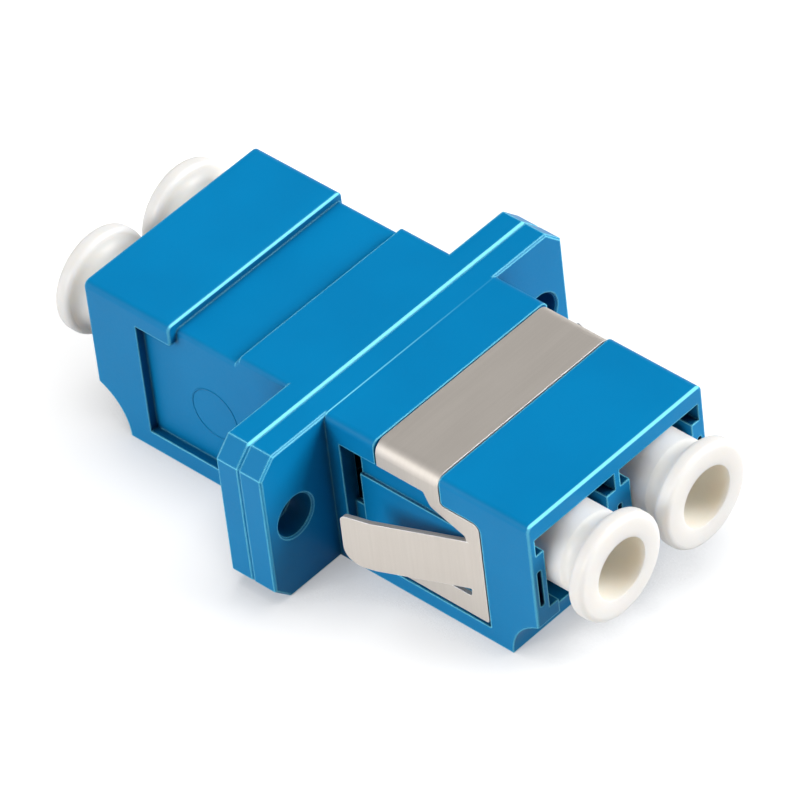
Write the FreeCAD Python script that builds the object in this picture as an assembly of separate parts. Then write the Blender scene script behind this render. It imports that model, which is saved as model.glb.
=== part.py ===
"""Duplex LC fibre adapter: a welded two-part flanged housing with two sleeve seats,
two split sleeves, one sprung panel clip and four dust caps.

Y is the mating axis and the weld seam lies at y = 0. The front half, which carries the
clip, faces -Y. X is across the two channels, Z is up, and the underside lies at z = 0.
Lengths are in millimetres.
"""
import FreeCAD, Part
import math
import os

Vector = FreeCAD.Vector

# ---- Housing body
BODY_WIDTH = 12.7
BODY_HEIGHT = 9.4
BODY_REACH = 14.8            # seam to the end face of each half
BODY_TOP_ROUND = 0.38        # long upper edges
END_EDGE_ROUND = 0.12        # rim of each end face

# ---- Flange
FLANGE_WIDTH = 22.0
FLANGE_HALF_THICK = 1.5      # each half carries one leaf of the flange
FLANGE_CORNER = 1.0          # 45 degree corners
FLANGE_EDGE = 0.1            # small bevel round each leaf, which also draws the seam
HOLE_INSET = 2.0             # flange end to the axis of its screw hole
HOLE_DIAMETER = 2.4
HOLE_LEAD = 0.1              # bevel at the mouth of each screw hole

# ---- Channels
CHANNEL_PITCH = 6.25
PORT_WIDTH = 4.6
PORT_HEIGHT = 4.8
PORT_ROOF = 1.05             # wall above the ports
WEB_HALF_THICK = 0.8         # wall that carries the sleeve seats, in each half
LATCH_WIDTH = 3.3            # slot below the port for the plug's latch
LATCH_FLOOR = 1.0            # wall under the latch slot
CATCH_LENGTH = 3.2           # shoulders that the latch ears snap behind
LATCH_REACH = 7.6            # end face to the inner end of the latch room
EAR_HEIGHT = 1.05            # wide relief along the roof of the port mouth
EAR_DEPTH = 2.4
EAR_OUTER_WALL = 0.38
EAR_MID_WALL = 0.38
CORE_SLOT_WIDTH = 0.3        # shallow coring slots in the end faces
CORE_SLOT_HEIGHT = 2.3
CORE_SLOT_DEPTH = 0.9
CORE_SLOT_DROP = 0.85        # port axis down to the middle of a coring slot
CORE_SLOT_ROUND = 0.12
SCOOP_DEPTH = 1.9            # hollow under each end face, for the latch lever
SCOOP_HEIGHT = 2.75

# ---- Sleeve seats and sleeves
BARREL_DIAMETER = 2.9
BARREL_REACH = 4.2           # seam to the tip of the barrel
BARREL_LEAD = 0.25
SLEEVE_DIAMETER = 1.62
SLEEVE_BORE = 1.25
SLEEVE_LENGTH = 6.8
SLEEVE_SLIT = 0.25
SLEEVE_PLAY = 0.04           # radial room round the sleeve
SLEEVE_END_PLAY = 0.05
LIP_BORE = 1.4               # mouth that keeps the sleeve in its barrel

# ---- Rear half
STEP_REACH = 9.0             # seam to the full-size rear block
MID_DROP = 0.5               # how far the middle lies below the body's top
RAISED_REACH = 4.65          # seam to the foot of the ramp
RAMP_LENGTH = 0.35
STEP_EDGE_ROUND = 0.12       # upper rim of the rear block, towards the flange
WAIST_INSET = 0.5            # depth of the side panel, on the -X side
PLAIN_INSET = 0.15           # step of the other side, which has no panel
WAIST_ROUND = 0.3
PANEL_REACH = 11.4           # seam to the rear wall of the side panel
PANEL_DROP = 1.2             # top of the body down to the top of the side panel
SILL_HEIGHT = 1.1            # rim below the side panel

# ---- Panel clip, folded from one strip
CLIP_THICK = 0.25
CLIP_BEND = 0.7              # outer radius at the shoulders
CLIP_NEAR = 4.85             # seam to the strip's nearer edge
CLIP_WIDTH = 4.08
CLIP_GAP = 0.1               # room round the strip in its groove
HEM_DROP = 1.45              # top of the body down to where the strip ends over the window
NECK_WIDTH = 1.05
PLATE_FAR = 11.43            # seam to the leading edge of the side plate
PLATE_DROP = 1.78            # top of the body down to the top of the side plate
PLATE_BOTTOM = 1.15
BAR_WIDTH = 0.95             # upright bar that the tongue springs from
FOOT_HEIGHT = 1.25
FOOT_NEAR = 5.7
TONGUE_DROP = 1.85           # hem down to the top of the tongue
TONGUE_LIFT = 0.55           # top of the foot up to the bottom of the tongue
TONGUE_NEAR = 4.3            # seam to the tongue's free end
TONGUE_SPREAD = 2.35         # how far the free end stands off the side
TONGUE_KNEE_NEAR = 5.9
TONGUE_KNEE_SPREAD = 1.92
TONGUE_CORNER = 1.1          # lower corner of the free end
TONGUE_TIP_CORNER = 0.3      # upper corner of the free end
TONGUE_BEND = 1.2            # outer radius of the bends at the root and the knee
NECK_TAPER = 0.4             # how far the neck widens towards the plate
NECK_DROP = 0.45             # top of the plate down to the foot of the neck
BAR_DROP = 0.75              # foot of the neck down to the top of the bar
WINDOW_CORNER = 0.25
HEM_CORNER = 0.1
PLATE_CORNER = 0.4
STRIP_CORNER = 0.3           # inside corner between plate and strip
FOOT_CORNER = 0.15

# ---- Clip pockets in the front half
POCKET_NEAR = 2.35
POCKET_BOTTOM = 0.9
POCKET_CORNER = 0.1
WELL_DEPTH = 0.62            # sunk field behind the window
PAD_DEPTH = 0.45             # raised pad behind the tongue
PAD_NEAR = 3.1
SLOT_MARGIN = 0.2            # bottom of the port up to the slot through the wall beside the pad

# ---- Dust caps
STEM_DIAMETER = 4.4
STEM_INSERT = 6.0            # length of stem inside the port
STEM_LEAD = 0.3
NECK_SHOW = 0.8              # stem seen between the end face and the flare
FLARE_LENGTH = 1.1
HEAD_DIAMETER = 5.9
HEAD_THICK = 0.95
FLARE_SAG = 0.3              # hollow of the flare
HEAD_ROUND = 0.3
CAP_BORE = 3.4
CAP_BORE_DEPTH = 6.5

# ---- Places that follow from the sizes above
half_width = BODY_WIDTH / 2
port_top = BODY_HEIGHT - PORT_ROOF
port_bottom = port_top - PORT_HEIGHT
axis_height = (port_top + port_bottom) / 2
channel_places = (-CHANNEL_PITCH / 2, CHANNEL_PITCH / 2)
hole_places = (HOLE_INSET - FLANGE_WIDTH / 2, FLANGE_WIDTH / 2 - HOLE_INSET)
hem_height = BODY_HEIGHT - HEM_DROP
plate_top = BODY_HEIGHT - PLATE_DROP
foot_top = PLATE_BOTTOM + FOOT_HEIGHT
tongue_top = hem_height - TONGUE_DROP
tongue_bottom = foot_top + TONGUE_LIFT
tongue_root = PLATE_FAR - BAR_WIDTH
strip_far = CLIP_NEAR + CLIP_WIDTH
CUT = 1.0                    # how far cutters run past a face
LAP = 0.25                   # how far pieces of one solid run into each other
TINY = 1e-6


def box(x0, x1, y0, y1, z0, z1):
    return Part.makeBox(x1 - x0, y1 - y0, z1 - z0, Vector(x0, y0, z0))


def rod(x, z, radius, y0, y1):
    return Part.makeCylinder(radius, y1 - y0, Vector(x, y0, z), Vector(0, 1, 0))


def mirrored(shape, axis):
    return shape.mirror(Vector(0, 0, 0), axis)


def both_sides(shape):
    return [shape, mirrored(shape, Vector(1, 0, 0))]


def rounded_corner(before, here, after, radius):
    """Start, middle and end of the arc that rounds the corner at here."""
    if radius == 0:
        return here, here, here
    to_before = (before - here).normalize()
    to_after = (after - here).normalize()
    half_angle = to_before.getAngle(to_after) / 2
    back = radius / math.tan(half_angle)
    inward = (to_before + to_after).normalize()
    middle = here + inward * (radius / math.sin(half_angle) - radius)
    return here + to_before * back, middle, here + to_after * back


def rounded_wire(corners, place, closed=True):
    """Wire through (u, v, radius) corners; place turns (u, v) into a point."""
    points = [Vector(u, v, 0) for u, v, radius in corners]
    bends = [
        rounded_corner(points[i - 1], here, points[(i + 1) % len(points)], corners[i][2])
        for i, here in enumerate(points)]
    edges = []
    for i, (start, middle, end) in enumerate(bends):
        if (end - start).Length > TINY:
            edges.append(Part.Arc(place(start), place(middle), place(end)).toShape())
        following = bends[(i + 1) % len(bends)][0]
        last = i == len(bends) - 1
        if (closed or not last) and (following - end).Length > TINY:
            edges.append(Part.makeLine(place(end), place(following)))
    return Part.Wire(edges)


def prism_across(corners, x0, x1):
    """Outline of (y, z, radius) corners, extruded along X."""
    wire = rounded_wire(corners, lambda p: Vector(x0, p.x, p.y))
    return Part.Face(wire).extrude(Vector(x1 - x0, 0, 0))


def prism_along(corners, y0, y1):
    """Outline of (x, z, radius) corners, extruded along Y."""
    wire = rounded_wire(corners, lambda p: Vector(p.x, y0, p.y))
    return Part.Face(wire).extrude(Vector(0, y1 - y0, 0))


def arch_profile(reach, top, radius):
    """Upright section from z = 0 with rounded upper corners."""
    return [(-reach, 0, 0), (-reach, top, radius), (reach, top, radius), (reach, 0, 0)]


def edges_at(shape, test):
    return [e for e in shape.Edges if all(test(v.Point) for v in e.Vertexes)]


# ---- Housing halves, both built towards +Y; the front one is turned over at the end

def body_block(near, far, reach, top, radius):
    """Length of body with rounded shoulders, bevelled at the seam and softened at the end face."""
    block = prism_along(arch_profile(reach, top, radius), near, far)
    if near == 0:
        block = block.makeChamfer(FLANGE_EDGE, edges_at(block, lambda p: abs(p.y) < TINY))
    if far == BODY_REACH:
        block = block.makeFillet(END_EDGE_ROUND, edges_at(block, lambda p: abs(p.y - far) < TINY))
    if near == STEP_REACH:
        rim = edges_at(block, lambda p: abs(p.y - near) < TINY and p.z > top - TINY)
        block = block.makeFillet(STEP_EDGE_ROUND, rim)
    return block


def flange_leaf():
    reach = FLANGE_WIDTH / 2
    corner = FLANGE_CORNER
    outline = [
        (-reach, corner, 0), (-reach, BODY_HEIGHT - corner, 0),
        (-reach + corner, BODY_HEIGHT, 0), (reach - corner, BODY_HEIGHT, 0),
        (reach, BODY_HEIGHT - corner, 0), (reach, corner, 0),
        (reach - corner, 0, 0), (-reach + corner, 0, 0),
    ]
    leaf = prism_along(outline, 0, FLANGE_HALF_THICK)
    rims = [e for e in leaf.Edges if abs(e.Vertexes[0].Y - e.Vertexes[-1].Y) < TINY]
    return leaf.makeChamfer(FLANGE_EDGE, rims)


def screw_hole(x):
    radius = HOLE_DIAMETER / 2
    height = BODY_HEIGHT / 2
    bore = rod(x, height, radius, -CUT, FLANGE_HALF_THICK + CUT)
    mouth = Part.makeCone(
        radius, radius + HOLE_LEAD + CUT, HOLE_LEAD + CUT,
        Vector(x, FLANGE_HALF_THICK - HOLE_LEAD, height), Vector(0, 1, 0))
    return bore.fuse(mouth)


def scoop_cutter():
    """Round hollow across the lower edge of the end face, upright where it meets the underside."""
    outset = (SCOOP_HEIGHT ** 2 - SCOOP_DEPTH ** 2) / (2 * SCOOP_DEPTH)
    start = Vector(-half_width - CUT, BODY_REACH + outset, 0)
    return Part.makeCylinder(outset + SCOOP_DEPTH, BODY_WIDTH + 2 * CUT, start, Vector(1, 0, 0))


def port_cutters(x):
    end = BODY_REACH + CUT
    plug_room = box(x - PORT_WIDTH / 2, x + PORT_WIDTH / 2, WEB_HALF_THICK, end,
                    port_bottom, port_top)
    latch_slot = box(x - LATCH_WIDTH / 2, x + LATCH_WIDTH / 2, BODY_REACH - LATCH_REACH, end,
                     LATCH_FLOOR, port_bottom + CUT)
    catch_room = box(x - PORT_WIDTH / 2, x + PORT_WIDTH / 2, BODY_REACH - LATCH_REACH,
                     BODY_REACH - CATCH_LENGTH, LATCH_FLOOR, port_bottom + CUT)
    side = math.copysign(1, x)
    ear_room = box(EAR_MID_WALL / 2, half_width - EAR_OUTER_WALL, BODY_REACH - EAR_DEPTH, end,
                   port_top - EAR_HEIGHT, port_top)
    if side < 0:
        ear_room = mirrored(ear_room, Vector(1, 0, 0))
    return [plug_room, latch_slot, catch_room, ear_room]


def coring_slot(x):
    """Shallow slot with round ends in the end face."""
    middle = axis_height - CORE_SLOT_DROP
    low = middle - CORE_SLOT_HEIGHT / 2
    high = middle + CORE_SLOT_HEIGHT / 2
    side = CORE_SLOT_WIDTH / 2
    bend = CORE_SLOT_ROUND
    outline = [(x - side, low, bend), (x - side, high, bend),
               (x + side, high, bend), (x + side, low, bend)]
    return prism_along(outline, BODY_REACH - CORE_SLOT_DEPTH, BODY_REACH + CUT)


def coring_slots():
    wall_middle = (half_width + CHANNEL_PITCH / 2 + PORT_WIDTH / 2) / 2
    return [coring_slot(x) for x in (-wall_middle, 0, wall_middle)]


def barrel(x):
    """Tube that seats one half of a sleeve, standing on the web."""
    radius = BARREL_DIAMETER / 2
    tube = rod(x, axis_height, radius, 0, BARREL_REACH)
    tip = edges_at(tube, lambda p: abs(p.y - BARREL_REACH) < TINY)
    return tube.makeChamfer(BARREL_LEAD, tip)


def sleeve_room(x):
    seat = SLEEVE_LENGTH / 2 + SLEEVE_END_PLAY
    room = rod(x, axis_height, SLEEVE_DIAMETER / 2 + SLEEVE_PLAY, -CUT, seat)
    mouth = rod(x, axis_height, LIP_BORE / 2, 0, BARREL_REACH + CUT)
    return room.fuse(mouth)


def finished_half(body):
    """Adds what both halves share: flange leaf, ports, sleeve seats, holes and scoop."""
    hollows = [scoop_cutter()] + coring_slots()
    for x in channel_places:
        hollows += port_cutters(x)
    shell = body.fuse(flange_leaf()).removeSplitter()
    shell = shell.cut(hollows)
    shell = shell.fuse([barrel(x) for x in channel_places])
    bores = [sleeve_room(x) for x in channel_places]
    bores += [screw_hole(x) for x in hole_places]
    return shell.cut(bores).removeSplitter()


def waist_block():
    """Raised shoulder at the flange, ramp and lower middle, set towards the plain side."""
    reach = half_width - (WAIST_INSET + PLAIN_INSET) / 2
    middle_top = BODY_HEIGHT - MID_DROP
    ramp_end = RAISED_REACH + RAMP_LENGTH
    raised = body_block(0, RAISED_REACH, reach, BODY_HEIGHT, WAIST_ROUND)
    middle = body_block(ramp_end, STEP_REACH + LAP, reach, middle_top, WAIST_ROUND)
    sections = [
        rounded_wire(arch_profile(reach, top, WAIST_ROUND), lambda p, y=y: Vector(p.x, y, p.y))
        for y, top in ((RAISED_REACH, BODY_HEIGHT), (ramp_end, middle_top))]
    waist = raised.fuse([Part.makeLoft(sections, True, True), middle])
    waist.translate(Vector((WAIST_INSET - PLAIN_INSET) / 2, 0, 0))
    return waist


def housing_rear():
    block = body_block(STEP_REACH, BODY_REACH, half_width, BODY_HEIGHT, BODY_TOP_ROUND)
    sill = box(-half_width, half_width, 0, STEP_REACH + LAP, 0, SILL_HEIGHT)
    panel = box(-half_width - CUT, WAIST_INSET - half_width, STEP_REACH, PANEL_REACH,
                SILL_HEIGHT, BODY_HEIGHT - PANEL_DROP)
    return finished_half(block.fuse([waist_block(), sill]).cut(panel))


# ---- Clip. Its outlines use (distance from the seam, height), like the housing halves.

def strip_profile(reach, top, bend, hem):
    """Outline of an arch over the body, as (x, z, radius) corners."""
    return [(-reach, hem, 0), (-reach, top, bend), (reach, top, bend), (reach, hem, 0)]


def clip_groove():
    """Room for the strip over the top and round both shoulders."""
    near = CLIP_NEAR - CLIP_GAP
    far = strip_far + CLIP_GAP
    around = box(-half_width - CUT, half_width + CUT, near, far, hem_height, BODY_HEIGHT + CUT)
    core = prism_along(
        strip_profile(half_width - CLIP_THICK, BODY_HEIGHT - CLIP_THICK,
                      CLIP_BEND - CLIP_THICK, hem_height - CUT),
        near - CUT, far + CUT)
    return around.cut(core)


def pocket_outline():
    near = CLIP_NEAR - CLIP_GAP
    middle = strip_far + CLIP_GAP
    far = PLATE_FAR + CLIP_GAP
    top = plate_top + CLIP_GAP
    return [
        (near, hem_height + LAP, 0), (near, hem_height, POCKET_CORNER),
        (POCKET_NEAR, hem_height, POCKET_CORNER), (POCKET_NEAR, POCKET_BOTTOM, POCKET_CORNER),
        (far, POCKET_BOTTOM, POCKET_CORNER), (far, top, PLATE_CORNER + CLIP_GAP),
        (middle, top, STRIP_CORNER - CLIP_GAP), (middle, hem_height + LAP, 0),
    ]


def window_outline():
    """Opening in the side plate, bounded by hem, neck, bar and foot."""
    neck_near = strip_far - NECK_WIDTH
    neck_foot = plate_top - NECK_DROP
    return [
        (POCKET_NEAR, hem_height, 0), (neck_near, hem_height, HEM_CORNER),
        (neck_near + NECK_TAPER, neck_foot, STRIP_CORNER),
        (tongue_root, neck_foot - BAR_DROP, WINDOW_CORNER), (tongue_root, foot_top, WINDOW_CORNER),
        (POCKET_NEAR, foot_top, 0),
    ]


def clip_pocket():
    """Side pocket: a shelf for the plate, a sunk field round a pad, and a slot into the port."""
    outer = half_width + CUT
    shelf = prism_across(pocket_outline(), half_width - CLIP_THICK, outer)
    behind = prism_across(window_outline(), half_width - WELL_DEPTH, outer)
    pad = box(half_width - WELL_DEPTH - CUT, half_width - PAD_DEPTH,
              PAD_NEAR, PLATE_FAR, 0, tongue_top)
    port_wall = (CHANNEL_PITCH + PORT_WIDTH) / 2
    slot = box(port_wall - LAP, outer, POCKET_NEAR, PAD_NEAR,
               port_bottom + SLOT_MARGIN, hem_height - CLIP_GAP)
    return shelf.fuse([behind.cut(pad), slot])


def housing_front():
    body = body_block(0, BODY_REACH, half_width, BODY_HEIGHT, BODY_TOP_ROUND)
    half = finished_half(body)
    half = half.cut([clip_groove()] + both_sides(clip_pocket()))
    return mirrored(half.removeSplitter(), Vector(0, 1, 0))


def clip_tongue():
    """Sprung tongue: bent outwards in plan, with a rounded free end."""
    path = [
        (half_width, tongue_root + LAP, 0), (half_width, tongue_root, TONGUE_BEND),
        (half_width + TONGUE_KNEE_SPREAD, TONGUE_KNEE_NEAR, TONGUE_BEND),
        (half_width + TONGUE_SPREAD, TONGUE_NEAR, 0),
    ]
    outer = rounded_wire(path, lambda p: Vector(p.x, p.y, tongue_bottom), closed=False)
    band = outer.makeOffset2D(CLIP_THICK, 2, True, True)
    tongue = band.extrude(Vector(0, 0, tongue_top - tongue_bottom))
    side = [
        (PLATE_FAR, tongue_bottom, 0), (TONGUE_NEAR, tongue_bottom, TONGUE_CORNER),
        (TONGUE_NEAR, tongue_top, TONGUE_TIP_CORNER), (PLATE_FAR, tongue_top, 0),
    ]
    return tongue.common(prism_across(side, 0, half_width + TONGUE_SPREAD + CUT))


def clip_plate():
    window = window_outline()
    plate = [
        (FOOT_NEAR, hem_height + LAP, 0), (FOOT_NEAR, PLATE_BOTTOM, FOOT_CORNER),
        (PLATE_FAR, PLATE_BOTTOM, FOOT_CORNER), (PLATE_FAR, plate_top, PLATE_CORNER),
        (strip_far, plate_top, STRIP_CORNER), (strip_far, hem_height + LAP, 0),
    ]
    inner = half_width - CLIP_THICK
    return prism_across(plate, inner, half_width).cut(
        prism_across(window, inner - CUT, half_width + CUT))


def panel_clip():
    outer = strip_profile(half_width, BODY_HEIGHT, CLIP_BEND, hem_height)
    inner = strip_profile(half_width - CLIP_THICK, BODY_HEIGHT - CLIP_THICK,
                          CLIP_BEND - CLIP_THICK, hem_height - CUT)
    strip = prism_along(outer, CLIP_NEAR, strip_far)
    strip = strip.cut(prism_along(inner, CLIP_NEAR - CUT, strip_far + CUT))
    sides = both_sides(clip_plate()) + both_sides(clip_tongue())
    clip = strip.fuse(sides).removeSplitter()
    return mirrored(clip, Vector(0, 1, 0))


# ---- Sleeves and caps

def split_sleeve(x):
    reach = SLEEVE_LENGTH / 2
    ring = rod(x, axis_height, SLEEVE_DIAMETER / 2, -reach, reach)
    bore = rod(x, axis_height, SLEEVE_BORE / 2, -reach - CUT, reach + CUT)
    slit = box(x - SLEEVE_SLIT / 2, x + SLEEVE_SLIT / 2, -reach - CUT, reach + CUT,
               axis_height, axis_height + SLEEVE_DIAMETER)
    return ring.cut([bore, slit])


def dust_cap(x):
    """Cap for a port that opens towards +Y: a stem, a flared neck and a bored head."""
    stem = STEM_DIAMETER / 2
    head = HEAD_DIAMETER / 2
    inner_end = BODY_REACH - STEM_INSERT
    neck_end = BODY_REACH + NECK_SHOW
    flare_end = neck_end + FLARE_LENGTH
    face = flare_end + HEAD_THICK
    bore = CAP_BORE / 2
    bore_end = face - CAP_BORE_DEPTH
    bend = HEAD_ROUND * (1 - math.sqrt(0.5))

    def at(radius, y):
        return Vector(radius, y, 0)

    flare_middle = at((stem + head - HEAD_ROUND) / 2 - FLARE_SAG, (neck_end + flare_end) / 2)
    edges = [
        Part.makeLine(at(0, inner_end), at(stem - STEM_LEAD, inner_end)),
        Part.makeLine(at(stem - STEM_LEAD, inner_end), at(stem, inner_end + STEM_LEAD)),
        Part.makeLine(at(stem, inner_end + STEM_LEAD), at(stem, neck_end)),
        Part.Arc(at(stem, neck_end), flare_middle, at(head - HEAD_ROUND, flare_end)).toShape(),
        Part.Arc(at(head - HEAD_ROUND, flare_end), at(head - bend, flare_end + bend),
                 at(head, flare_end + HEAD_ROUND)).toShape(),
        Part.makeLine(at(head, flare_end + HEAD_ROUND), at(head, face - HEAD_ROUND)),
        Part.Arc(at(head, face - HEAD_ROUND), at(head - bend, face - bend),
                 at(head - HEAD_ROUND, face)).toShape(),
        Part.makeLine(at(head - HEAD_ROUND, face), at(bore, face)),
        Part.makeLine(at(bore, face), at(bore, bore_end)),
        Part.makeLine(at(bore, bore_end), at(0, bore_end)),
        Part.makeLine(at(0, bore_end), at(0, inner_end)),
    ]
    turned = Part.Face(Part.Wire(edges)).revolve(Vector(0, 0, 0), Vector(0, 1, 0), 360)
    turned.translate(Vector(x, 0, axis_height))
    return turned


def export(name, shape):
    shape.exportStep(f"parts/{name}.step")


os.makedirs("parts", exist_ok=True)
export("housing_front", housing_front())
export("housing_rear", housing_rear())
export("panel_clip", panel_clip())
for side_name, channel in zip(("left", "right"), channel_places):
    export(f"split_sleeve_{side_name}", split_sleeve(channel))
    rear_cap = dust_cap(channel)
    export(f"dust_cap_rear_{side_name}", rear_cap)
    export(f"dust_cap_front_{side_name}", mirrored(rear_cap, Vector(0, 1, 0)))
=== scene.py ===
"""Looks for a duplex LC fibre adapter, laid out as a Blender add-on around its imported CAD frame.

The CAD pieces keep their shape and get moulded plastic, spring steel, ceramic and soft cap
materials. A mould mark on the side panel, the floor, the lamps and the camera are added.
Everything is in metres. Y is the mating axis, X is across the channels and Z is up.
"""

import math

import bmesh
import bpy
from mathutils import Matrix, Vector


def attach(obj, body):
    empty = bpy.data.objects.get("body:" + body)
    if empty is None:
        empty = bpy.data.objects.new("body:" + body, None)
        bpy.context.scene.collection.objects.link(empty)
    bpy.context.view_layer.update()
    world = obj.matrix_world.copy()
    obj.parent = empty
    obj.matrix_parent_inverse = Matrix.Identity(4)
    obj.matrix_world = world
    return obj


bl_info = {
    "name": "Duplex Fibre Adapter",
    "version": (1, 0, 0),
    "blender": (4, 5, 0),
    "location": "3D View > Sidebar > Adapter",
    "description": "Dresses a duplex fibre adapter and builds its studio",
    "category": "Object",
}

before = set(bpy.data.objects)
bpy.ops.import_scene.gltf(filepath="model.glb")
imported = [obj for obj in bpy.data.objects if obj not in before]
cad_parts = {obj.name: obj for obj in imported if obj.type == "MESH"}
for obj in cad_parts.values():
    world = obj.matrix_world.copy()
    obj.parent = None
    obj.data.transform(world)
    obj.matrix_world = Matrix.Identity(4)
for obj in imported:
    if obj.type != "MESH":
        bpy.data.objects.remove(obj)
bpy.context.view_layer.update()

# ---- Names of the CAD pieces

HOUSING_NODES = ("housing_front", "housing_rear")
CLIP_NODES = ("panel_clip",)
SLEEVE_NODES = ("split_sleeve_left", "split_sleeve_right")
CAP_NODES = (
    "dust_cap_front_left", "dust_cap_front_right",
    "dust_cap_rear_left", "dust_cap_rear_right",
)


# ---- Fixed values; a pair is a low and a high end, and lengths are in metres

RAY_SAMPLES = 4                    # rays of each bevel and occlusion node
RING_STEPS = 96                    # faces round each spun shape
MIX_FACTOR, MIX_FIRST, MIX_SECOND, MIX_COLOUR = 0, 6, 7, 2    # colour sockets of a Mix node

# Moulded plastic
CLOUD_LEVELS = (0.35, 0.65)        # noise between the two colours of the melt
HOLLOW_SHADE_LEVELS = (0.3, 0.85)        # painted shade: opening from a full hollow to an open face
PLASTIC_HIGHLIGHT_EDGE = (0.008, 0.05)       # how far the normal turns on an edge that gets the painted highlight
HIGHLIGHT_CORNER_REACH = 0.0004              # room that an edge needs before it gets the painted highlight
HIGHLIGHT_CORNER_LEVELS = (0.6, 0.9)
GRAIN_LEVELS = (0.2, 0.8)
PLASTIC_ROUGHNESS = (0.38, 0.48)
GRAIN_BUMP = (0.12, 0.00001)       # strength and depth
PLASTIC_SHINE = 0.15
RIM_HIGHLIGHT_CORE = 0.6                     # share of a painted rim highlight that is fully bright
TOP_HEIGHTS = (0.0093, 0.00935)    # where the parting line's painted highlight starts and is full
FADE_PLACES = (-0.0066, 0.004)     # from left to right, where the line fades
FADE_LEVELS = (0.9, 0.1)

# Spring steel
STREAK_STRETCH = (0.03, 1, 0.03)   # draws the noise out along the strip
STREAK_TINTS = (0.3, 0.7)
STREAK_LEVELS = (0.2, 0.8)
# Normal turn of the sheared edges that get the painted highlight.
STEEL_HIGHLIGHT_EDGE = (0.012, 0.08)
STEEL_ROUGHNESS = (0.60, 0.67)
STREAK_BUMP = (0.08, 0.000004)
STEEL_METALLIC = 0.8

# Soft caps
CAP_GLOW_LEVELS = (0.35, 0.9)           # painted warm light: opening from a bore to an open face
CAP_WAVE = 0.0006                  # size of the faint waves in the surface
WAVE_LEVELS = (0.3, 0.7)
CAP_ROUGHNESS = (0.36, 0.48)
CAP_EDGE_ROUND = 0.00006
WAVE_BUMP = (0.15, 0.00003)
CAP_LIGHT_REACH = 0.001            # how far light spreads inside the plastic
CAP_LIGHT_COLOURS = (1.0, 0.9, 0.8)

# Ceramic
CERAMIC_SHADE = 0.93               # darkest grain, as a share of the colour
CERAMIC_LEVELS = (0.3, 0.7)
CERAMIC_ROUGHNESS = (0.12, 0.2)

# Stage
FLOOR_SWEEP = 0.7                  # share of the wall that curves into the floor
SWEEP_STEPS = 12
PAPER_FIBRE = 0.004
PAPER_SHADE = 0.985
PAPER_ROUGHNESS = 0.9
CONTACT_SHADOW_LEVELS = (0.5, 0.9)        # painted contact shadow: opening from under the object to the free floor
GLOW_LEVELS = (0.3, 0.78)          # glow of the floor at those two
SENSOR_WIDTH = 36                  # in millimetres
CLIP_START = 0.01
LAMPS = (                          # name, where it shines from, strength, width in degrees
    ("left_lamp", (-0.88, 0.22, 0.41), 2.6, 30),
    ("right_lamp", (0.62, -0.61, 0.52), 3.6, 36),
    ("upper_lamp", (0.05, -0.30, 0.95), 0.45, 60),
)


# ---- Sizes and colours that a user may change

class HousingSettings(bpy.types.PropertyGroup):
    colour: bpy.props.FloatVectorProperty(
        name="Plastic", description="Colour of the moulded housing",
        subtype="COLOR", default=(0.0, 0.222, 0.5), min=0, max=1)
    flow_tint_and_hollow_light: bpy.props.FloatVectorProperty(
        name="Flow Tint", description="Slightly darker colour where the melt flowed slower",
        subtype="COLOR", default=(0.0, 0.205, 0.468), min=0, max=1)
    # Painted highlight: pale colour along sharp outer edges, the upper rims and the parting line,
    # standing in for light caught there.
    edge_highlight_colour: bpy.props.FloatVectorProperty(
        name="Edges", description="Paler colour along sharp edges, where the plastic is thin",
        subtype="COLOR", default=(0.22, 0.82, 1.0), min=0, max=1)
    # Painted shade: dark colour of holes, pockets and inner corners, where little light reaches.
    hollow_shade_colour: bpy.props.FloatVectorProperty(
        name="Hollows", description="Deep colour of holes, pockets and inner corners",
        subtype="COLOR", default=(0.0, 0.012, 0.05), min=0, max=1)
    # Reach of the painted shade in hollows.
    painted_hollow_reach: bpy.props.FloatProperty(
        name="Hollow Reach", description="How far a facing wall deepens the colour",
        unit="LENGTH", default=0.0025, min=0.0001)
    edge_round: bpy.props.FloatProperty(
        name="Edge Rounding", description="Radius that the mould leaves on sharp edges",
        unit="LENGTH", default=0.00013, min=0)
    flow_size: bpy.props.FloatProperty(
        name="Flow Size", description="Size of the soft clouds in the colour",
        unit="LENGTH", default=0.006, min=0.0001)
    grain_size: bpy.props.FloatProperty(
        name="Grain Size", description="Size of the fine texture left by the mould",
        unit="LENGTH", default=0.00016, min=0.00001)
    # The mould's parting line is real, but it is drawn as a painted highlight in the edge
    # highlight colour.
    line_along: bpy.props.FloatProperty(
        name="Line Place",
        description="Place along the body of the mould's parting line on the top",
        unit="LENGTH", default=-0.0015)
    # Places, height and width of the painted highlight along the rear block's step, the weld seam
    # and the front end's upper rim.
    rear_rim: bpy.props.FloatProperty(
        name="Step Rim", description="Place along the body of the rear block's upper rim",
        unit="LENGTH", default=0.009)
    seam_rim: bpy.props.FloatProperty(
        name="Seam Rim", description="Place along the body of the bright side of the weld seam",
        unit="LENGTH", default=0.00006)
    front_rim: bpy.props.FloatProperty(
        name="Front Rim", description="Place along the body of the front end's upper rim",
        unit="LENGTH", default=-0.01474)
    rim_height: bpy.props.FloatProperty(
        name="Rim Height", description="Height of the upper rims",
        unit="LENGTH", default=0.00936)
    rim_width: bpy.props.FloatProperty(
        name="Rim Width", description="How far the bright line spreads from each rim",
        unit="LENGTH", default=0.00011, min=0.00001)
    # Width of the painted highlight of the parting line.
    line_width: bpy.props.FloatProperty(
        name="Line Width", description="Width of the parting line",
        unit="LENGTH", default=0.0001, min=0.00001)


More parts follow.
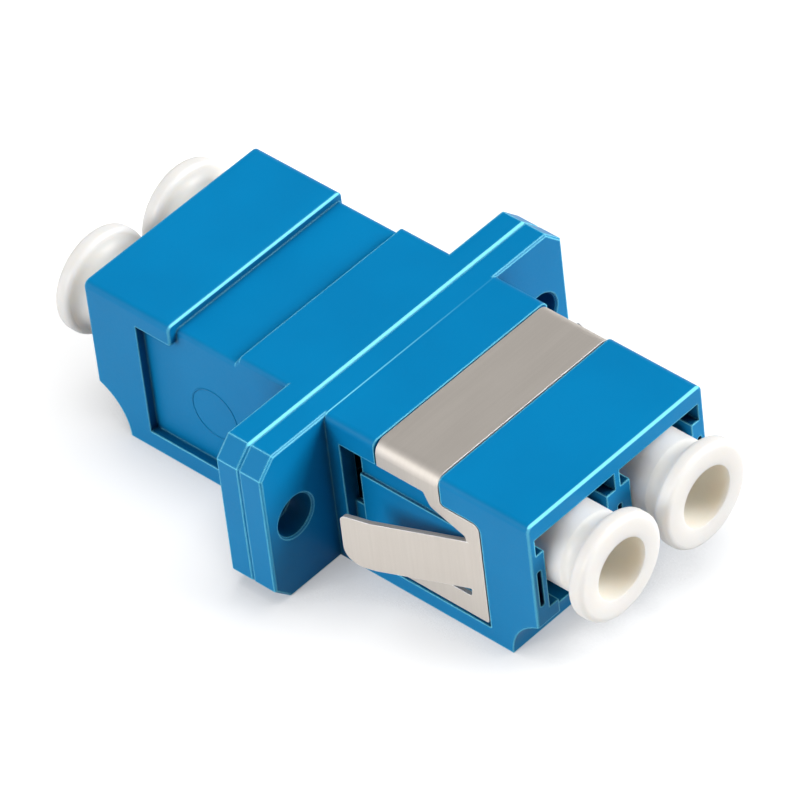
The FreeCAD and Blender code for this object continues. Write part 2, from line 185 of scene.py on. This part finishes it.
class MarkSettings(bpy.types.PropertyGroup):
    radius: bpy.props.FloatProperty(
        name="Radius", description="Radius of the round mould mark on the side panel",
        unit="LENGTH", default=0.0015, min=0.0001)
    width: bpy.props.FloatProperty(
        name="Width", description="Width of the mark's raised rim",
        unit="LENGTH", default=0.00012, min=0.00001)
    height: bpy.props.FloatProperty(
        name="Height", description="How far the rim stands off the panel",
        unit="LENGTH", default=0.00002, min=0.000001)
    along: bpy.props.FloatProperty(
        name="Along", description="Distance of the mark from the weld seam",
        unit="LENGTH", default=0.00698)
    lift: bpy.props.FloatProperty(
        name="Lift", description="Height of the mark above the underside",
        unit="LENGTH", default=0.00438)
    inset: bpy.props.FloatProperty(
        name="Panel Inset", description="Depth of the side panel below the side of the body",
        unit="LENGTH", default=0.0005)
    body_width: bpy.props.FloatProperty(
        name="Body Width", description="Width of the housing's body between its sides",
        unit="LENGTH", default=0.0127)


class ClipSettings(bpy.types.PropertyGroup):
    colour: bpy.props.FloatVectorProperty(
        name="Steel", description="Colour of the spring steel",
        subtype="COLOR", default=(0.66, 0.615, 0.565), min=0, max=1)
    streak_colour: bpy.props.FloatVectorProperty(
        name="Streaks", description="Darker colour of the rolling streaks",
        subtype="COLOR", default=(0.625, 0.58, 0.53), min=0, max=1)
    # Painted highlight: pale colour along the sheared edges, standing in for light caught there.
    edge_highlight_colour: bpy.props.FloatVectorProperty(
        name="Cut Edges", description="Brighter colour of the sheared edges",
        subtype="COLOR", default=(0.96, 0.97, 1.0), min=0, max=1)
    edge_round: bpy.props.FloatProperty(
        name="Edge Rounding", description="Radius along the sheared edges",
        unit="LENGTH", default=0.00005, min=0)
    streak_size: bpy.props.FloatProperty(
        name="Streak Size", description="Distance between the rolling streaks",
        unit="LENGTH", default=0.00012, min=0.00001)


class CapSettings(bpy.types.PropertyGroup):
    colour: bpy.props.FloatVectorProperty(
        name="Cap", description="Colour of the soft dust caps",
        subtype="COLOR", default=(0.84, 0.815, 0.785), min=0, max=1)
    # Painted warm light in the shaded bores and under the flares, standing in for light passing
    # through the thin plastic.
    flow_tint_and_hollow_light: bpy.props.FloatVectorProperty(
        name="Hollows", description="Warmer colour down the bores and under the flares",
        subtype="COLOR", default=(0.92, 0.85, 0.74), min=0, max=1)
    # Reach of the painted warm light in hollows.
    painted_hollow_reach: bpy.props.FloatProperty(
        name="Hollow Reach", description="How far a facing wall tints a hollow",
        unit="LENGTH", default=0.004, min=0.0001)


class SleeveSettings(bpy.types.PropertyGroup):
    colour: bpy.props.FloatVectorProperty(
        name="Ceramic", description="Colour of the ceramic split sleeves",
        subtype="COLOR", default=(0.84, 0.83, 0.79), min=0, max=1)
    grain_size: bpy.props.FloatProperty(
        name="Grain Size", description="Size of the faint grain in the ceramic",
        unit="LENGTH", default=0.0002, min=0.00001)


class StageSettings(bpy.types.PropertyGroup):
    floor_colour: bpy.props.FloatVectorProperty(
        name="Floor", description="Colour of the floor and of the wall that it curves into",
        subtype="COLOR", default=(0.5, 0.5, 0.5), min=0, max=1)
    floor_radius: bpy.props.FloatProperty(
        name="Floor Radius", description="Distance from the object to the wall",
        unit="LENGTH", default=2.0, min=0.1)
    wall_height: bpy.props.FloatProperty(
        name="Wall Height", description="Height of the wall round the floor",
        unit="LENGTH", default=0.6, min=0.1)
    # Reach of the painted contact shadow on the floor.
    contact_reach: bpy.props.FloatProperty(
        name="Contact Shadow", description="Reach of the darker shadow where the object stands",
        unit="LENGTH", default=0.005, min=0.0001)
    room_light: bpy.props.FloatProperty(
        name="Room Light", description="Level of the even light from all round",
        default=0.07, min=0)
    view_turn: bpy.props.FloatProperty(
        name="View Turn", description="Turn of the camera round the object from straight in front",
        subtype="ANGLE", unit="ROTATION", default=math.radians(-42.76))
    view_height: bpy.props.FloatProperty(
        name="View Height", description="Angle of the camera above the floor",
        subtype="ANGLE", unit="ROTATION", default=math.radians(42.52))
    view_roll: bpy.props.FloatProperty(
        name="View Roll", description="Tilt of the camera to one side",
        subtype="ANGLE", unit="ROTATION", default=math.radians(-7.19))
    view_distance: bpy.props.FloatProperty(
        name="View Distance", description="Distance of the camera from the object",
        unit="LENGTH", default=0.4155, min=0.01)
    view_target: bpy.props.FloatVectorProperty(
        name="View Target", description="Point that the camera looks at",
        subtype="XYZ", unit="LENGTH", default=(0.0002, 0.0, 0.0047))
    lens: bpy.props.FloatProperty(
        name="Lens", description="Focal length of the camera, in millimetres",
        default=378.7, min=1)


# ---- Material nodes

def new_material(name):
    """A material with its node tree and its Principled shader."""
    material = bpy.data.materials.new(name)
    material.use_nodes = True
    return material, material.node_tree, material.node_tree.nodes["Principled BSDF"]


def add(tree, kind, inputs=None, **settings):
    """A node with some sockets set or linked and some properties set."""
    node = tree.nodes.new(kind)
    for name, value in settings.items():
        setattr(node, name, value)
    for name, value in (inputs or {}).items():
        plug(tree, node.inputs[name], value)
    return node


def plug(tree, socket, value):
    """Links another node's socket, or sets a number, vector or colour."""
    if isinstance(value, bpy.types.NodeSocket):
        tree.links.new(value, socket)
    elif hasattr(value, "__len__") and len(value) == 3 and socket.type == "RGBA":
        socket.default_value = (*value, 1)
    else:
        socket.default_value = value


def object_place(tree, scale=(1, 1, 1)):
    """Object coordinates, stretched by scale."""
    place = add(tree, "ShaderNodeTexCoord").outputs["Object"]
    return add(tree, "ShaderNodeMapping", {"Vector": place, "Scale": scale}).outputs["Vector"]


def noise(tree, place, size, detail=2.0):
    """Soft noise whose clouds are about size across."""
    return add(tree, "ShaderNodeTexNoise", {
        "Vector": place, "Scale": 1 / size, "Detail": detail}).outputs["Fac"]


def ranged(tree, value, low, high, to_low=0.0, to_high=1.0):
    """The value carried from one range to another, and held at its ends."""
    return add(tree, "ShaderNodeMapRange", {
        "Value": value, "From Min": low, "From Max": high,
        "To Min": to_low, "To Max": to_high}).outputs["Result"]


def blended(tree, factor, first, second):
    """Colour that goes from first to second with factor."""
    mix = add(tree, "ShaderNodeMix", data_type="RGBA")
    plug(tree, mix.inputs[MIX_FACTOR], factor)
    plug(tree, mix.inputs[MIX_FIRST], first)
    plug(tree, mix.inputs[MIX_SECOND], second)
    return mix.outputs[MIX_COLOUR]


def rounded_normal(tree, radius):
    """The normal as if sharp edges were rounded by radius."""
    bevel = add(tree, "ShaderNodeBevel", {"Radius": radius}, samples=RAY_SAMPLES)
    return bevel.outputs["Normal"]


def edge_share(tree, normal, low, high):
    """1 along sharp edges and 0 on open faces, from how far rounding turns the normal."""
    flat = add(tree, "ShaderNodeNewGeometry").outputs["Normal"]
    dot = add(tree, "ShaderNodeVectorMath", operation="DOT_PRODUCT")
    plug(tree, dot.inputs[0], normal)
    plug(tree, dot.inputs[1], flat)
    return ranged(tree, dot.outputs["Value"], 1 - low, 1 - high)


def combined(tree, operation, *values):
    """The result of one Math node."""
    return add(tree, "ShaderNodeMath", dict(enumerate(values)), operation=operation).outputs[0]


def product(tree, first, second):
    return combined(tree, "MULTIPLY", first, second)


def larger(tree, first, second):
    return combined(tree, "MAXIMUM", first, second)


def rim_highlight(tree, place, along, height, width):
    """A painted highlight across the object, along an upper rim."""
    flat = add(tree, "ShaderNodeVectorMath", {0: place, 1: (0, 1, 1)}, operation="MULTIPLY")
    away = add(tree, "ShaderNodeVectorMath", {
        0: flat.outputs["Vector"], 1: (0, along, height)}, operation="DISTANCE")
    return ranged(tree, away.outputs["Value"], width, width * RIM_HIGHLIGHT_CORE)


def open_share(tree, reach, low, high):
    """1 on open faces and outer edges, and 0 in inner corners and hollows."""
    opening = add(tree, "ShaderNodeAmbientOcclusion", {
        "Distance": reach}, samples=RAY_SAMPLES, only_local=True)
    return ranged(tree, opening.outputs["AO"], low, high)


def parting_line_highlight(tree, place, look):
    """A fine mould parting line across the top of the body, drawn as a painted highlight that
    fades out to the right.
    """
    axes = add(tree, "ShaderNodeSeparateXYZ", {0: place}).outputs
    away = combined(
        tree, "ABSOLUTE", combined(tree, "SUBTRACT", axes["Y"], look.line_along))
    band = ranged(tree, away, look.line_width / 2, look.line_width / 4)
    top = ranged(tree, axes["Z"], *TOP_HEIGHTS)
    fade = ranged(tree, axes["X"], *FADE_PLACES, *FADE_LEVELS)
    return product(tree, product(tree, band, top), fade)


def shaded(colour, share):
    return tuple(channel * share for channel in colour)


def bumped(tree, height, normal, strength, depth):
    """The normal over a relief of the given strength and depth."""
    return add(tree, "ShaderNodeBump", {
        "Height": height, "Normal": normal,
        "Strength": strength, "Distance": depth}).outputs["Normal"]


def moulded_plastic(look, name="moulded_blue_plastic", with_highlights=True):
    """Satin moulded plastic with soft colour clouds and a fine grain, painted shade in hollows and
    inner corners, and painted highlights along sharp edges, upper rims and the parting line.
    """
    material, tree, shader = new_material(name)
    place = object_place(tree)
    clouds = ranged(tree, noise(tree, place, look.flow_size), *CLOUD_LEVELS)
    tint = blended(tree, clouds, tuple(look.flow_tint_and_hollow_light), tuple(look.colour))
    # Painted shade: holes, pockets and inner corners darken towards the hollow colour.
    opening = open_share(tree, look.painted_hollow_reach, *HOLLOW_SHADE_LEVELS)
    tint = blended(tree, opening, tuple(look.hollow_shade_colour), tint)
    rounding = rounded_normal(tree, look.edge_round)
    # Painted highlights along sharp outer edges, the upper rims and the parting line.
    if with_highlights:
        edges = edge_share(tree, rounding, *PLASTIC_HIGHLIGHT_EDGE)
        highlight_lines = product(tree, edges, open_share(tree, HIGHLIGHT_CORNER_REACH, *HIGHLIGHT_CORNER_LEVELS))
        highlight_lines = larger(tree, highlight_lines, parting_line_highlight(tree, place, look))
        for along in (look.rear_rim, look.seam_rim, look.front_rim):
            rim = rim_highlight(tree, place, along, look.rim_height, look.rim_width)
            highlight_lines = larger(tree, highlight_lines, rim)
        tint = blended(tree, highlight_lines, tint, tuple(look.edge_highlight_colour))
    plug(tree, shader.inputs["Base Color"], tint)
    grain = noise(tree, place, look.grain_size, detail=3.0)
    plug(tree, shader.inputs["Roughness"],
         ranged(tree, grain, *GRAIN_LEVELS, *PLASTIC_ROUGHNESS))
    plug(tree, shader.inputs["Normal"], bumped(tree, grain, rounding, *GRAIN_BUMP))
    shader.inputs["Specular IOR Level"].default_value = PLASTIC_SHINE
    return material


def spring_steel(look):
    """Rolled strip with fine streaks along its length and a painted highlight along the sheared
    edges.
    """
    material, tree, shader = new_material("rolled_spring_steel")
    place = object_place(tree, STREAK_STRETCH)
    streaks = noise(tree, place, look.streak_size, detail=4.0)
    share = ranged(tree, streaks, *STREAK_TINTS)
    tint = blended(tree, share, tuple(look.streak_colour), tuple(look.colour))
    rounding = rounded_normal(tree, look.edge_round)
    # Painted highlight along the sheared edges.
    edges = edge_share(tree, rounding, *STEEL_HIGHLIGHT_EDGE)
    plug(tree, shader.inputs["Base Color"], blended(tree, edges, tint, tuple(look.edge_highlight_colour)))
    plug(tree, shader.inputs["Roughness"],
         ranged(tree, streaks, *STREAK_LEVELS, *STEEL_ROUGHNESS))
    plug(tree, shader.inputs["Normal"], bumped(tree, streaks, rounding, *STREAK_BUMP))
    shader.inputs["Metallic"].default_value = STEEL_METALLIC
    return material


def soft_cap(look):
    """Soft, faintly clear plastic with painted warm light where walls face each other, in the
    bores and under the flares.
    """
    material, tree, shader = new_material("soft_cap_plastic")
    place = object_place(tree)
    # Painted warm light: bores and the undersides of the flares turn towards the warmer colour.
    opening = open_share(tree, look.painted_hollow_reach, *CAP_GLOW_LEVELS)
    plug(tree, shader.inputs["Base Color"],
         blended(tree, opening, tuple(look.flow_tint_and_hollow_light), tuple(look.colour)))
    waves = noise(tree, place, CAP_WAVE)
    plug(tree, shader.inputs["Roughness"],
         ranged(tree, waves, *WAVE_LEVELS, *CAP_ROUGHNESS))
    rounding = rounded_normal(tree, CAP_EDGE_ROUND)
    plug(tree, shader.inputs["Normal"], bumped(tree, waves, rounding, *WAVE_BUMP))
    shader.inputs["Subsurface Weight"].default_value = 1.0
    shader.inputs["Subsurface Radius"].default_value = CAP_LIGHT_COLOURS
    shader.inputs["Subsurface Scale"].default_value = CAP_LIGHT_REACH
    return material


def ceramic(look):
    """Polished ceramic with a faint grain."""
    material, tree, shader = new_material("polished_ceramic")
    grain = noise(tree, object_place(tree), look.grain_size, detail=3.0)
    pale = tuple(look.colour)
    plug(tree, shader.inputs["Base Color"],
         blended(tree, grain, shaded(pale, CERAMIC_SHADE), pale))
    plug(tree, shader.inputs["Roughness"],
         ranged(tree, grain, *CERAMIC_LEVELS, *CERAMIC_ROUGHNESS))
    return material


def paint(nodes, material):
    """Gives CAD pieces their material in place of the one they came with."""
    for name in nodes:
        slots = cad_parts[name].data.materials
        slots.clear()
        slots.append(material)


# ---- Added shapes

def spin_round(shape, merge_distance):
    """Sweeps all that is in the shape once round the upright axis."""
    bmesh.ops.spin(
        shape, geom=shape.verts[:] + shape.edges[:], cent=(0, 0, 0), axis=(0, 0, 1),
        dvec=(0, 0, 0), angle=2 * math.pi, steps=RING_STEPS, use_merge=True,
        use_duplicate=False)
    bmesh.ops.remove_doubles(shape, verts=shape.verts, dist=merge_distance)


def smooth_piece(scene, name, shape, material):
    """Turns a finished shape into a smooth object at the origin."""
    bmesh.ops.recalc_face_normals(shape, faces=shape.faces)
    for face in shape.faces:
        face.smooth = True
    mesh = bpy.data.meshes.new(name)
    shape.to_mesh(mesh)
    shape.free()
    mesh.materials.append(material)
    piece = bpy.data.objects.new(name, mesh)
    scene.collection.objects.link(piece)
    return piece


def mark_ring(look):
    """A low ring with a round-topped section, half sunk in the panel."""
    shape = bmesh.new()
    panel = look.inset - look.body_width / 2
    section = bmesh.ops.create_circle(shape, segments=12, radius=look.width / 2)["verts"]
    bmesh.ops.scale(shape, vec=(1, 2 * look.height / look.width, 1), verts=section)
    bmesh.ops.rotate(shape, matrix=Matrix.Rotation(math.pi / 2, 3, "X"), verts=section)
    bmesh.ops.translate(shape, vec=(look.radius, 0, 0), verts=section)
    spin_round(shape, 1e-8)
    bmesh.ops.rotate(shape, matrix=Matrix.Rotation(math.pi / 2, 3, "Y"), verts=shape.verts)
    bmesh.ops.translate(shape, vec=(panel, look.along, look.lift), verts=shape.verts)
    return shape


def floor_sweep(look):
    """A round floor that curves up into a low wall."""
    shape = bmesh.new()
    reach, rise = look.floor_radius, look.wall_height
    profile = [shape.verts.new(place) for place in ((0, 0, 0), (reach, 0, 0), (reach, 0, rise))]
    for pair in zip(profile, profile[1:]):
        shape.edges.new(pair)
    bmesh.ops.bevel(
        shape, geom=[profile[1]], offset=rise * FLOOR_SWEEP, segments=SWEEP_STEPS,
        profile=0.5, affect="VERTICES", material=-1)
    spin_round(shape, 1e-6)
    return shape


# ---- Operators

class ADAPTER_OT_dress_housing(bpy.types.Operator):
    """Gives both housing halves their moulded plastic"""
    bl_idname = "adapter.dress_housing"
    bl_label = "Dress Housing"

    def execute(self, context):
        paint(HOUSING_NODES, moulded_plastic(context.scene.adapter_housing))
        return {"FINISHED"}


class ADAPTER_OT_mark_panel(bpy.types.Operator):
    """Puts a plain round mould mark on the side panel of the rear half"""
    bl_idname = "adapter.mark_panel"
    bl_label = "Mark Side Panel"

    def execute(self, context):
        look = context.scene.adapter_mark
        plastic = moulded_plastic(context.scene.adapter_housing, "mark_plastic", with_highlights=False)
        mark = smooth_piece(context.scene, "mould_mark", mark_ring(look), plastic)
        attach(mark, "housing")
        return {"FINISHED"}


class ADAPTER_OT_dress_clip(bpy.types.Operator):
    """Gives the panel clip its rolled spring steel"""
    bl_idname = "adapter.dress_clip"
    bl_label = "Dress Panel Clip"

    def execute(self, context):
        paint(CLIP_NODES, spring_steel(context.scene.adapter_clip))
        return {"FINISHED"}


class ADAPTER_OT_dress_caps(bpy.types.Operator):
    """Gives the four dust caps their soft plastic"""
    bl_idname = "adapter.dress_caps"
    bl_label = "Dress Dust Caps"

    def execute(self, context):
        paint(CAP_NODES, soft_cap(context.scene.adapter_caps))
        return {"FINISHED"}


class ADAPTER_OT_dress_sleeves(bpy.types.Operator):
    """Gives the two split sleeves their ceramic"""
    bl_idname = "adapter.dress_sleeves"
    bl_label = "Dress Split Sleeves"

    def execute(self, context):
        paint(SLEEVE_NODES, ceramic(context.scene.adapter_sleeves))
        return {"FINISHED"}


class ADAPTER_OT_build_stage(bpy.types.Operator):
    """Builds the floor, the lamps and the camera"""
    bl_idname = "adapter.build_stage"
    bl_label = "Build Stage"

    def execute(self, context):
        look = context.scene.adapter_stage
        floor = smooth_piece(context.scene, "studio_floor", floor_sweep(look), floor_paper(look))
        for lamp in LAMPS:
            add_lamp(context.scene, *lamp)
        light_room(context.scene, look)
        place_camera(context.scene, look)
        context.scene.view_settings.view_transform = "Standard"
        return {"FINISHED"}


# ---- Parts of the stage

def floor_paper(look):
    """Matt paper that shows white to the camera and keeps the shadows, with a painted contact
    shadow that dims its glow near the object.
    """
    material, tree, shader = new_material("white_paper")
    place = object_place(tree)
    fibres = noise(tree, place, PAPER_FIBRE, detail=3.0)
    pale = tuple(look.floor_colour)
    plug(tree, shader.inputs["Base Color"],
         blended(tree, fibres, shaded(pale, PAPER_SHADE), pale))
    shader.inputs["Roughness"].default_value = PAPER_ROUGHNESS
    shader.inputs["Specular IOR Level"].default_value = 0.0
    ray = add(tree, "ShaderNodeLightPath").outputs
    seen = larger(tree, ray["Is Camera Ray"], ray["Is Glossy Ray"])
    seen = larger(tree, seen, ray["Is Transmission Ray"])
    # Painted contact shadow: the glow is dimmed where the object stands close above the floor.
    contact = add(tree, "ShaderNodeAmbientOcclusion", {
        "Distance": look.contact_reach}, samples=RAY_SAMPLES).outputs["AO"]
    glow = product(tree, seen, ranged(tree, contact, *CONTACT_SHADOW_LEVELS, *GLOW_LEVELS))
    plug(tree, shader.inputs["Emission Color"], (1.0, 1.0, 1.0))
    plug(tree, shader.inputs["Emission Strength"], glow)
    return material


def add_lamp(scene, name, direction, strength, spread):
    """A soft, far lamp that shines from a direction; spread is its width in degrees."""
    lamp = bpy.data.lights.new(name, "SUN")
    lamp.energy = strength
    lamp.angle = math.radians(spread)
    stand = bpy.data.objects.new(name, lamp)
    stand.rotation_euler = Vector(direction).to_track_quat("Z", "Y").to_euler()
    scene.collection.objects.link(stand)


def light_room(scene, look):
    """A faint light from all round, which the camera itself sees as white."""
    world = scene.world or bpy.data.worlds.new("studio")
    scene.world = world
    world.use_nodes = True
    tree = world.node_tree
    background = tree.nodes["Background"]
    background.inputs["Color"].default_value = (1.0, 1.0, 1.0, 1.0)
    seen = add(tree, "ShaderNodeLightPath").outputs["Is Camera Ray"]
    plug(tree, background.inputs["Strength"],
         ranged(tree, seen, 0.0, 1.0, look.room_light, 1.0))


def place_camera(scene, look):
    """A camera that looks at the target from its turn and height, tilted by its roll."""
    turn, height = look.view_turn, look.view_height
    back = Vector((
        math.sin(turn) * math.cos(height), -math.cos(turn) * math.cos(height), math.sin(height)))
    right = Vector((0, 0, 1)).cross(back).normalized()
    tilt = Matrix.Rotation(look.view_roll, 3, back)
    right = tilt @ right
    up = back.cross(right)
    lens = bpy.data.cameras.new("studio_camera")
    lens.lens = look.lens
    lens.sensor_width = SENSOR_WIDTH
    lens.clip_start = CLIP_START
    camera = bpy.data.objects.new("studio_camera", lens)
    turned = Matrix((right, up, back)).transposed().to_4x4()
    target = Vector(look.view_target)
    camera.matrix_world = Matrix.Translation(target + back * look.view_distance) @ turned
    scene.collection.objects.link(camera)
    scene.camera = camera


# ---- Panel and registration

STEPS = (
    ("adapter.dress_housing", "adapter_housing"),
    ("adapter.mark_panel", "adapter_mark"),
    ("adapter.dress_clip", "adapter_clip"),
    ("adapter.dress_caps", "adapter_caps"),
    ("adapter.dress_sleeves", "adapter_sleeves"),
    ("adapter.build_stage", "adapter_stage"),
)


class ADAPTER_PT_sidebar(bpy.types.Panel):
    """Lists each step with its sizes and colours"""
    bl_idname = "ADAPTER_PT_sidebar"
    bl_label = "Fibre Adapter"
    bl_space_type = "VIEW_3D"
    bl_region_type = "UI"
    bl_category = "Adapter"

    def draw(self, context):
        for operator, settings in STEPS:
            box = self.layout.box()
            box.operator(operator)
            look = getattr(context.scene, settings)
            for name in look.__annotations__:
                box.prop(look, name)


GROUPS = {
    "adapter_housing": HousingSettings,
    "adapter_mark": MarkSettings,
    "adapter_clip": ClipSettings,
    "adapter_caps": CapSettings,
    "adapter_sleeves": SleeveSettings,
    "adapter_stage": StageSettings,
}
OPERATORS = (
    ADAPTER_OT_dress_housing,
    ADAPTER_OT_mark_panel,
    ADAPTER_OT_dress_clip,
    ADAPTER_OT_dress_caps,
    ADAPTER_OT_dress_sleeves,
    ADAPTER_OT_build_stage,
)


def register():
    for name, group in GROUPS.items():
        bpy.utils.register_class(group)
        setattr(bpy.types.Scene, name, bpy.props.PointerProperty(type=group))
    for operator in OPERATORS:
        bpy.utils.register_class(operator)
    bpy.utils.register_class(ADAPTER_PT_sidebar)


def unregister():
    bpy.utils.unregister_class(ADAPTER_PT_sidebar)
    for operator in reversed(OPERATORS):
        bpy.utils.unregister_class(operator)
    for name, group in reversed(GROUPS.items()):
        delattr(bpy.types.Scene, name)
        bpy.utils.unregister_class(group)


def main():
    register()
    bpy.ops.adapter.dress_housing()
    bpy.ops.adapter.mark_panel()
    bpy.ops.adapter.dress_clip()
    bpy.ops.adapter.dress_caps()
    bpy.ops.adapter.dress_sleeves()
    bpy.ops.adapter.build_stage()


if __name__ == "__main__":
    main()
